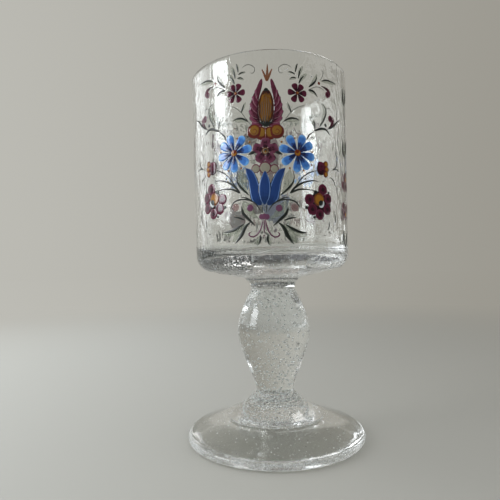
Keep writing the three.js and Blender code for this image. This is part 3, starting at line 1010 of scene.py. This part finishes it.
def foot_leaves(motif):
    for hand in (1, -1):
        wash = ((hand * 1.9, 7.6, 0.2), (hand * 2.1, 6, 0.8), (hand * 2.7, 3.6, 0.3))
        dark = ((hand * 1.6, 7.9, 0.2), (hand * 1.4, 6.3, 0.5), (hand * 2.2, 3.9, 0.12))
        leaves(motif, (wash,), (dark,))


def top_twigs(motif):
    leaves(motif, TOP_WASHES, TOP_DARKS)
    lines(motif, "stem_line", TOP_LINES, half=0.13)


def side_twigs(motif):
    leaves(motif, SIDE_WASHES, SIDE_DARKS)
    lines(motif, "stem_line", SIDE_LINES, half=0.14)
    motif.dab("red_brown", 22.9, 71.1, 0.65)
    motif.dab("leaf_dark", 26.7, 54.4, 0.75)


def tulip_twigs(motif):
    leaves(motif, TULIP_WASHES, TULIP_DARKS)
    motif.over()
    motif.dab("mauve", 5.8, 18.6, 1.4)
    motif.dab("red_wash", 12.1, 19, 1.6)


def bloom_twigs(motif):
    lines(motif, "stem_line", BLOOM_TWIGS, half=0.32)
    for x, z, paint in DOTS:
        motif.dab(paint, x, z, 0.42, sides=10, rings=6)


# Each motif that has a solid: its brushwork, its slot, and its place across and up
MOTIFS = {
    "pod": (pod, "enamel_ochre", (0, 52)),
    "wing": (wing, "enamel_maroon", (0, 52)),
    "scallops": (scallops, "enamel_ochre", (0, 49.1)),
    "rosette": (rosette, "enamel_maroon", (0, ROSETTE_UP / MM)),
    "tulip": (tulip, "enamel_navy", (0, 19.8)),
    "knot": (knot, "enamel_maroon", (0, 15.1)),
    "daisy": (daisy, "enamel_blue", (13.1, 41)),
    "floret": (floret, "enamel_maroon", (12.7, 65.2)),
    "leaves": (low_leaves, "enamel_green", (3.2, 12.6)),
    "bloom": (bloom, "enamel_maroon", (24, 21.1)),
    "half_bloom": (half_bloom, "enamel_ochre", (25.2, 35.3)),
    "low_bud": (low_bud, "enamel_maroon", (28.6, 56.5)),
    "high_bud": (high_bud, "enamel_maroon", (28.6, 68.5)),
}
# Where the back has a motif elsewhere, and the ones that have no twin on the left
BACK_PLACES = {"daisy": (20, 44.5), "half_bloom": (11.5, 26.5)}
SINGLE_MOTIFS = ("pod", "scallops", "rosette", "tulip", "knot")
HANDS = ((1, "right"), (-1, "left"))
# Thin paint on the middle line: its brushwork, its slot and how far up it is
MIDDLE_PAINT = (
    ("crest", crest, "enamel_ochre", 70),
    ("scales", scales, "enamel_green", 34.3),
    ("foot_leaves", foot_leaves, "enamel_green", 0),
)
TWIGS = {
    "top_twigs": top_twigs,
    "side_twigs": side_twigs,
    "tulip_twigs": tulip_twigs,
    "bloom_twigs": bloom_twigs,
}


def bouquet(where, side):
    """The whole bouquet on one side of the bowl; each motif with a solid takes its place."""
    for name, (paint, slot, place) in MOTIFS.items():
        if where == "back":
            place = BACK_PLACES.get(name, place)
        for hand, word in ((1, ""),) if name in SINGLE_MOTIFS else HANDS:
            node = f"{name}_{where}_{word}".strip("_")
            motif = Motif(side, *place, hand)
            paint(motif)
            motif.done(f"painted_{node}", node)
    for name, paint, slot, up in MIDDLE_PAINT:
        motif = Motif(side, 0, up)
        paint(motif)
        motif.done(f"{name}_{where}")
    for hand, word in HANDS:
        for name, paint in TWIGS.items():
            twigs = Motif(side, 0, 0, hand)
            paint(twigs)
            twigs.done(f"{name}_{where}_{word}")


# Garlands on the sides of the bowl, between the front bouquet and the back one

GARLAND_PLACES = (("garland_right", 44, 4), ("garland_left", -78, 28))
# The garlands' inner faces get less painted light
GARLAND_UNDERSIDE_LIGHT = 0.2
GARLAND_DARK = 0.6
GARLAND_LINES = (
    ((0.2, 12), (-0.4, 22), (0.3, 32), (-0.2, 44), (0.2, 56), (0, 68), (-0.3, 77)),
    ((0, 40), (1.8, 43.5), (1.6, 46)),
    ((0, 61), (-1.9, 64), (-1.7, 66.5)),
    ((0.2, 21), (-1.8, 23.6), (-2.4, 26)),
)
GARLAND_LEAVES = (
    ((0, 68, 0.3), (1.8, 71.4, 1.7), (2.4, 76.4, 0.2)), ((0, 67, 0.3), (-2, 70.2, 1.7), (-2.9, 75, 0.2)),
    ((0, 45, 0.3), (2.2, 48.2, 1.8), (2.9, 52.8, 0.2)), ((0, 44, 0.3), (-2.2, 47, 1.8), (-3, 51.4, 0.2)),
    ((0, 35, 0.2), (1.8, 36.6, 1.2), (2.8, 39.6, 0.15)), ((0, 5, 0.2), (-2, 8.4, 1.5), (-2.4, 12, 0.15)),
    ((0, 5, 0.2), (2, 8.2, 1.5), (2.6, 11.6, 0.15)),
)
GARLAND_BUDS = (
    (0.3, 31, 2.8), (-2.2, 27.6, 2.2), (2.6, 27.8, 2.2),
    (0.2, 15.4, 2.8), (-2.2, 18.4, 2.1), (2.6, 18.2, 2.1),
)


def garland_leaf(motif, points):
    """A washed leaf with one broad dark stroke along its left side."""
    dark = []
    for i, (x, z, half) in enumerate(points):
        before, after = points[max(0, i - 1)], points[min(len(points) - 1, i + 1)]
        dx, dz = after[0] - before[0], after[1] - before[1]
        shift = half * (1 - GARLAND_DARK) / math.hypot(dx, dz)
        dark.append((x - dz * shift, z + dx * shift, max(half * GARLAND_DARK, 0.12)))
    motif.stroke("leaf_wash", points)
    motif.over()
    motif.stroke("leaf_dark", dark)
    motif.under()


def garland(name, across, rise):
    """A sprig that hangs down the bowl; its buds sit higher by the rise."""
    sprig = Motif(0, across, 0)
    # Weaker painted light on the sprig's inner faces
    sprig.underside_light = GARLAND_UNDERSIDE_LIGHT
    lines(sprig, "stem_line", GARLAND_LINES, half=0.2)
    for points in GARLAND_LEAVES:
        garland_leaf(sprig, points)
    sprig.over()
    for x, z, r in GARLAND_BUDS:
        sprig.dab("petal_maroon", x, z + rise, r)
    sprig.over()
    for x, z, r in GARLAND_BUDS[::3]:
        sprig.dab("eye_ochre", x, z + rise - 0.3, r * 0.45)
    sprig.done(name)


# Glass finishes

WAVE_LABELS = ("Scale", "Draw", "Fine", "Pits", "Specks")
# How much finer the finer waves are, and how close together pits and specks are
FINE_WAVE = 3.6
PIT_SCALE = 420
SPECK_SCALE = 1300
SPECKS_TOP_Z = FLOOR_Z + 3 * MM
SPECKS_FULL_Z = FLOOR_Z - 2 * MM


def ripple_group():
    """Waves of hand-blown glass: long ones drawn upwards, finer ones over them, pits, and specks low down."""
    group, nodes, given, out = new_group("glass_ripples", dict.fromkeys(WAVE_LABELS, 0.2), ("Height",))
    place = nodes.place()
    drawn = nodes.add("CombineXYZ", {0: 1.0, 1: 1.0, 2: given["Draw"]}).outputs[0]
    stretched = nodes.vector("MULTIPLY", place, drawn)
    height = nodes.noise(stretched, given["Scale"], 1.5, 0.6)
    fine = nodes.noise(stretched, nodes.math("MULTIPLY", given["Scale"], FINE_WAVE), 1, 1.2)
    pits = nodes.noise(place, PIT_SCALE, 2)
    low_down = nodes.ramp(nodes.parts(place)[2], SPECKS_TOP_Z, SPECKS_FULL_Z)
    specks = nodes.math("MULTIPLY", nodes.noise(place, SPECK_SCALE, 1), low_down)
    for layer, label in ((fine, "Fine"), (pits, "Pits"), (specks, "Specks")):
        height = nodes.math("ADD", height, nodes.math("MULTIPLY", layer, given[label]))
    nodes.put(height, out["Height"])
    return group


RIPPLES = ripple_group()
GLASS_IOR = 1.5
GLASS_SHADE = (0.9, 0.91, 0.9, 1)
GLASS_TINT = (0.975, 0.985, 0.978, 1)
DEEP_TINT = (0.905, 0.92, 0.91, 1)


def glass(name, roughness, depth, waves, tint):
    """Clear glass with waves of a depth; lamps shine through it with a light shade."""
    values = {"Base Color": tint, "Transmission Weight": 1, "IOR": GLASS_IOR, "Roughness": roughness}
    material, nodes, shader = new_material(name, values)
    ripples = nodes.add("Group", zip(WAVE_LABELS, waves), node_tree=RIPPLES).outputs["Height"]
    nodes.put(nodes.bump(ripples, 1, depth), shader.inputs["Normal"])
    clear = nodes.add("BsdfTransparent", {"Color": GLASS_SHADE})
    nodes.blend_shaders(nodes.add("LightPath").outputs["Is Shadow Ray"], shader.outputs[0], clear.outputs[0])
    return material


def seed_finish(name, tint, metallic, roughness):
    values = {"Base Color": tint, "Metallic": metallic, "Roughness": roughness}
    return new_material(name, values)[0]


# Roughness, depth of the waves, and their scale, draw, finer waves, pits and specks
wall_glass = glass("wall_glass", 0.01, 0.6 * MM, (70, 0.22, 0.26, 0.08, 0.03), GLASS_TINT)
inner_glass = glass("inner_glass", 0.01, 0.5 * MM, (90, 0.4, 0.26, 0.08, 0), GLASS_TINT)
floor_glass = glass("floor_glass", 0.01, 0.16 * MM, (90, 0.4, 0.2, 0.06, 0), GLASS_TINT)
stem_glass = glass("stem_glass", 0.015, 0.2 * MM, (90, 0.7, 0.1, 0.15, 0.16), DEEP_TINT)
foot_glass = glass("foot_glass", 0.015, 0.2 * MM, (50, 0.7, 0.05, 0.05, 0.03), GLASS_TINT)
joint_glass = new_material("fused_joint", {"Alpha": 0})[0]

# Seeds are air, given painted light and shade: white ones painted bright as bubbles that catch the light,
# grey ones mirroring the room darkly as bubbles in shade
bright_painted_seed = seed_finish("bright_painted_seed", (0.95, 0.97, 0.97, 1), 0, 0.3)
dim_painted_seed = seed_finish("dim_painted_seed", (0.38, 0.4, 0.39, 1), 1, 0.2)
dark_painted_seed = seed_finish("dark_painted_seed", (0.24, 0.25, 0.245, 1), 1, 0.2)

# The seam disc's pale warm colours are painted light
SEAM_R = 9.7 * MM
SEAM_THICKNESS = 0.08 * MM
SEAM_SHADE = colour(186, 172, 162)
SEAM_LIGHT = colour(248, 236, 228)
CLOUD_SCALE = 420


def neck_seam():
    """The seam where the bowl was set on the stem, a thin disc painted pale and warm as painted light; the
    base mirrors it as a pale oval.
    """
    material, nodes, shader = new_material("seam_painted_light", {"Roughness": 0.5})
    cloud = nodes.ramp(nodes.noise(nodes.place(), CLOUD_SCALE, 3), 0.35, 0.6)
    nodes.put(nodes.mix(cloud, SEAM_SHADE, SEAM_LIGHT), shader.inputs["Base Color"])
    bm = bmesh.new()
    bmesh.ops.create_cone(
        bm, cap_ends=True, segments=DISC_SIDES, radius1=SEAM_R, radius2=SEAM_R, depth=SEAM_THICKNESS,
    )
    bmesh.ops.translate(bm, verts=bm.verts, vec=(0, 0, NECK_Z - SEAM_THICKNESS))
    piece = finished("neck_seam", bm, [material])


# The whole glass

for name, outline, finishes, joints, node in (
    ("glass_foot", FOOT, [foot_glass, joint_glass], [SEAT_Z], "foot"),
    ("glass_collar", COLLAR, [foot_glass, joint_glass], [SEAT_Z, WAIST_Z], "collar"),
    ("glass_stem", STEM, [stem_glass, joint_glass], [WAIST_Z, NECK_Z], "stem"),
    ("glass_bowl", BOWL, [wall_glass, joint_glass, inner_glass, floor_glass], [NECK_Z], "bowl"),
):
    piece = turned(name, outline, finishes, joints)
    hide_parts(node)

neck_seam()

# Stem glass runs down into the collar as a rounded core
CORE = [
    (r * MM, z * MM)
    for r, z in ((0, 6.4), (10.5, 6.4), (12.6, 7.4), (13.2, 9.2), (12.4, 12.5), (10.4, 16.5), (8.2, 21.2))
]
in_stem = within(STEM, WAIST_Z, NECK_Z)
in_base = within(BOWL, NECK_Z, FLOOR_Z - 0.5 * MM)
in_upper_base = within(BOWL, NECK_Z + 4 * MM, FLOOR_Z - 0.5 * MM)
in_neck = within(BOWL, NECK_Z, NECK_Z + 4.5 * MM)
in_core = within(CORE, CORE[0][1], WAIST_Z)
# Rings of air: where two pieces were joined, under the core's edge and in the edge of the foot; the foot's
# ring of fine white seeds is a painted highlight that brightens its rim
neck_ring = on_ring(9.5 * MM, 68.3 * MM, 0.2 * MM)
core_ring = on_ring(12.2 * MM, 7.4 * MM, 0.5 * MM)
waist_ring = on_ring(7.7 * MM, 21.3 * MM, 0.16 * MM)
edge_ring = on_ring(39 * MM, 2.1 * MM, 0.9 * MM)
# Name, number, smallest and largest radius in millimetres, where they are, and their finish
SEED_SETS = (
    ("seeds_stem", 1300, (0.06, 0.18), in_stem, bright_painted_seed),
    ("seeds_stem_large", 460, (0.28, 0.46), in_stem, bright_painted_seed),
    ("seeds_stem_dim", 110, (0.08, 0.24), in_stem, dim_painted_seed),
    ("seeds_base", 800, (0.07, 0.24), in_base, bright_painted_seed),
    ("seeds_base_large", 260, (0.18, 0.34), in_upper_base, bright_painted_seed),
    ("seeds_base_dim", 3200, (0.12, 0.32), in_heel, dark_painted_seed),
    ("seeds_neck_dim", 300, (0.08, 0.26), in_neck, dark_painted_seed),
    ("seeds_neck_ring", 420, (0.08, 0.16), neck_ring, bright_painted_seed),
    ("seeds_collar", 900, (0.08, 0.24), in_core, bright_painted_seed),
    ("seeds_collar_large", 260, (0.22, 0.38), in_core, bright_painted_seed),
    ("seeds_collar_dim", 300, (0.08, 0.28), in_core, dim_painted_seed),
    ("seeds_core_edge", 1300, (0.08, 0.2), core_ring, bright_painted_seed),
    ("seeds_waist", 420, (0.07, 0.14), waist_ring, bright_painted_seed),
    ("seeds_foot", 700, (0.08, 0.24), in_plate, bright_painted_seed),
    ("seeds_foot_large", 240, (0.22, 0.36), in_plate, bright_painted_seed),
    ("seeds_foot_dim", 100, (0.1, 0.28), in_plate, dim_painted_seed),
    # Fine white seeds in the foot's edge: painted highlight along its rim
    ("seeds_foot_edge", 5200, (0.03, 0.06), edge_ring, bright_painted_seed),
    ("seeds_wall", 170, (0.08, 0.26), in_wall(FLOOR_Z + 4 * MM, RIM_Z - 3 * MM), bright_painted_seed),
    ("seeds_rim", 60, (0.14, 0.34), in_wall(RIM_Z - 12 * MM, RIM_Z - 1 * MM), bright_painted_seed),
)
draw = random.Random(11)
for name, count, sizes, inside, finish in SEED_SETS:
    piece = seeds(name, count, sizes, inside, finish, draw)

bouquet("front", 0)
bouquet("back", math.pi)
for place in GARLAND_PLACES:
    garland(*place)


# Studio

ROOM_LEFT = colour(190, 189, 182)
ROOM_RIGHT = colour(152, 149, 140)
ROOM_LIGHT = (0.68, 0.7, 0.72, 1)
FRONT_DARK = 0.2


def room_group():
    """The pale room as seen in a direction, lighter on the left, and as glass mirrors it: dark in front."""
    labels = ("Color", "Mirrored")
    group, nodes, given, out = new_group("pale_room", {"Direction": Vector((0, 0, 0))}, labels)
    across, depth = nodes.parts(nodes.vector("NORMALIZE", given["Direction"]))[:2]
    room = nodes.mix(nodes.ramp(across, -0.75, 0.75, kind=SOFT), ROOM_LEFT, ROOM_RIGHT)
    nodes.put(room, out["Color"])
    nodes.put(nodes.scaled(room, nodes.ramp(depth, 0.2, 0.85, low=FRONT_DARK, kind=SOFT)), out["Mirrored"])
    return group


ROOM = room_group()


def was_mirrored(nodes):
    """1 where the light came off a mirroring face on its way, 0 where it came straight or through glass."""
    return nodes.math("MINIMUM", nodes.add("LightPath").outputs["Glossy Depth"], 1)


def seen_room(nodes, direction):
    """The room's colour in a direction, and its darker look where a face mirrors it."""
    room = nodes.add("Group", {"Direction": direction}, node_tree=ROOM).outputs
    return nodes.mix(was_mirrored(nodes), room["Color"], room["Mirrored"])


def surround():
    """An even light for the paint and the table; the camera, mirroring faces and glass see the room."""
    world = bpy.data.worlds.new("studio")
    bpy.context.scene.world = world
    world.use_nodes = True
    nodes = Nodes(world.node_tree)
    path = nodes.add("LightPath").outputs
    seen = nodes.math("MAXIMUM", path["Is Camera Ray"], path["Is Glossy Ray"])
    seen = nodes.math("MAXIMUM", seen, path["Is Transmission Ray"])
    room = seen_room(nodes, nodes.add("TexCoord").outputs["Generated"])
    background = world.node_tree.nodes["Background"]
    nodes.put(nodes.mix(seen, ROOM_LIGHT, room), background.inputs["Color"])


TABLE_R = 6
TABLE_GAP = 0.05 * MM
# The table fades into the room between these distances, as it is seen from this high above it
TABLE_FADE = (0.22, 0.8)
FADE_RISE = (0, 0, 0.35)


def table_top():
    """A wide pale table, painted lighter on the left and darker on the right as the room's light falls, that
    turns into the room's colour, glowing, further away.
    """
    material, nodes, shader = new_material("pale_table", {"Roughness": 0.75, "Specular IOR Level": 0.15})
    place = nodes.place()
    distance = nodes.add("VectorMath", {0: place}, operation="LENGTH").outputs["Value"]
    direction = nodes.vector("ADD", place, FADE_RISE)
    room = nodes.add("Group", {"Direction": direction}, node_tree=ROOM).outputs
    # Painted light and shade: the table's own colour follows the room, lighter on the left and darker on the
    # right
    nodes.put(room["Color"], shader.inputs["Base Color"])
    far = nodes.add("Emission", {"Color": seen_room(nodes, direction)})
    nodes.blend_shaders(nodes.ramp(distance, *TABLE_FADE, kind=SOFT), shader.outputs[0], far.outputs[0])
    bm = bmesh.new()
    bmesh.ops.create_circle(bm, cap_ends=True, segments=DISC_SIDES, radius=TABLE_R)
    bmesh.ops.translate(bm, verts=bm.verts, vec=(0, 0, -TABLE_GAP))
    into_scene("table_top", bm, [material])


DAYLIGHT = (0.93, 0.97, 1)
WARM_LIGHT = (1, 0.98, 0.96)
LIGHT_DISTANCE = 0.8
PANE_DISTANCE = 0.75
IMAGE_GAP = 10 * MM
LIT_FROM = Vector((0, 0, 110)) * MM


def soft_box(name, angles, rises, radiance, tint, distance, sheds, mirrored):
    """A soft box that spans angles left of the camera's side and angles up, seen from the bowl.

    One lamp sheds its light, and another, a little nearer, is what glass shows of it. The second one is left
    out where nothing but glass is in between, or the bowl would show it as a white patch from the sides."""
    turn, rise = (math.radians(sum(span) / 2) for span in (angles, rises))
    half_turn, half_rise = (math.radians(abs(span[1] - span[0]) / 2) for span in (angles, rises))
    toward = Vector((-math.sin(turn) * math.cos(rise), -math.cos(turn) * math.cos(rise), math.sin(rise)))
    for role in ("light", "image") if sheds else ("image",):
        lamp = bpy.data.lights.new(f"{name}_{role}", "AREA")
        lamp.shape = "RECTANGLE"
        away = distance if role == "image" else distance + IMAGE_GAP
        lamp.size = 2 * away * math.cos(rise) * math.tan(half_turn)
        lamp.size_y = 2 * away * math.tan(half_rise)
        lamp.energy = radiance * math.pi * lamp.size * lamp.size_y
        lamp.color = tint
        box = bpy.data.objects.new(lamp.name, lamp)
        box.location = LIT_FROM + toward * away
        box.rotation_euler = (-toward).to_track_quat("-Z", "Y").to_euler()
        box.visible_camera = False
        box.visible_diffuse = role == "light"
        box.visible_glossy = role == "image" and mirrored
        box.visible_transmission = role == "image"
        bpy.context.scene.collection.objects.link(box)
        if role == "image":
            lamp.use_nodes = True
            nodes = Nodes(lamp.node_tree)
            went_in = nodes.math("MINIMUM", nodes.add("LightPath").outputs["Transmission Depth"], 1)
            through = nodes.math("MAXIMUM", nodes.math("SUBTRACT", went_in, was_mirrored(nodes)), 0)
            shown = nodes.math("SUBTRACT", 1, through)
            nodes.put(shown, lamp.node_tree.nodes["Emission"].inputs["Strength"])


# Camera, from the fit to the rim, the heel, the belly and the foot in the photograph

CAMERA_PLACE = Vector((-7.59, -212.64, 76.98)) * MM
CAMERA_YAW, CAMERA_PITCH, CAMERA_ROLL = 0.0126, 0.0429, -0.022
CAMERA_LENS = 32.4
CAMERA_CLIP = (5 * MM, 50)


def camera():
    level_right = Vector((math.cos(CAMERA_YAW), math.sin(CAMERA_YAW), 0))
    level_forward = Vector((-math.sin(CAMERA_YAW), math.cos(CAMERA_YAW), 0))
    forward = level_forward * math.cos(CAMERA_PITCH) + Vector((0, 0, math.sin(CAMERA_PITCH)))
    plain_up = Vector((0, 0, math.cos(CAMERA_PITCH))) - level_forward * math.sin(CAMERA_PITCH)
    right = level_right * math.cos(CAMERA_ROLL) + plain_up * math.sin(CAMERA_ROLL)
    up = plain_up * math.cos(CAMERA_ROLL) - level_right * math.sin(CAMERA_ROLL)
    lens = bpy.data.cameras.new("camera")
    lens.lens = CAMERA_LENS
    lens.clip_start, lens.clip_end = CAMERA_CLIP
    stand = bpy.data.objects.new("camera", lens)
    stand.matrix_world = Matrix((right, up, -forward)).transposed().to_4x4()
    stand.location = CAMERA_PLACE
    bpy.context.scene.collection.objects.link(stand)
    bpy.context.scene.camera = stand


surround()
table_top()
# What lights the table and the paint, and the panes that glass mirrors, which stand in front of it
soft_box("key_light", (62, 134), (2, 48), 1.3, DAYLIGHT, LIGHT_DISTANCE, True, False)
soft_box("fill_light", (-120, -50), (0, 24), 1, WARM_LIGHT, LIGHT_DISTANCE, True, False)
soft_box("near_pane_high", (60, 85), (17, 28), 9.5, DAYLIGHT, PANE_DISTANCE, True, True)
soft_box("near_pane_low", (60, 85), (4, 17), 5.5, DAYLIGHT, PANE_DISTANCE, True, True)
soft_box("far_pane", (94, 129), (0, 28), 0.9, DAYLIGHT, PANE_DISTANCE, True, True)
soft_box("low_right_pane", (-132, -84), (-4, 0.6), 2, DAYLIGHT, PANE_DISTANCE, False, True)
soft_box("top_pane", (0, 36), (72, 108), 4, WARM_LIGHT, PANE_DISTANCE, False, True)
soft_box("top_right_pane", (-146, -114), (43, 67), 5, WARM_LIGHT, PANE_DISTANCE, False, True)
camera()

bpy.context.scene.view_settings.view_transform = "Standard"
# Light is handed on inside the glass many times before it gets out
cycles = bpy.context.scene.cycles
cycles.max_bounces = 40
cycles.glossy_bounces = 32
cycles.transmission_bounces = 32
cycles.transparent_max_bounces = 32
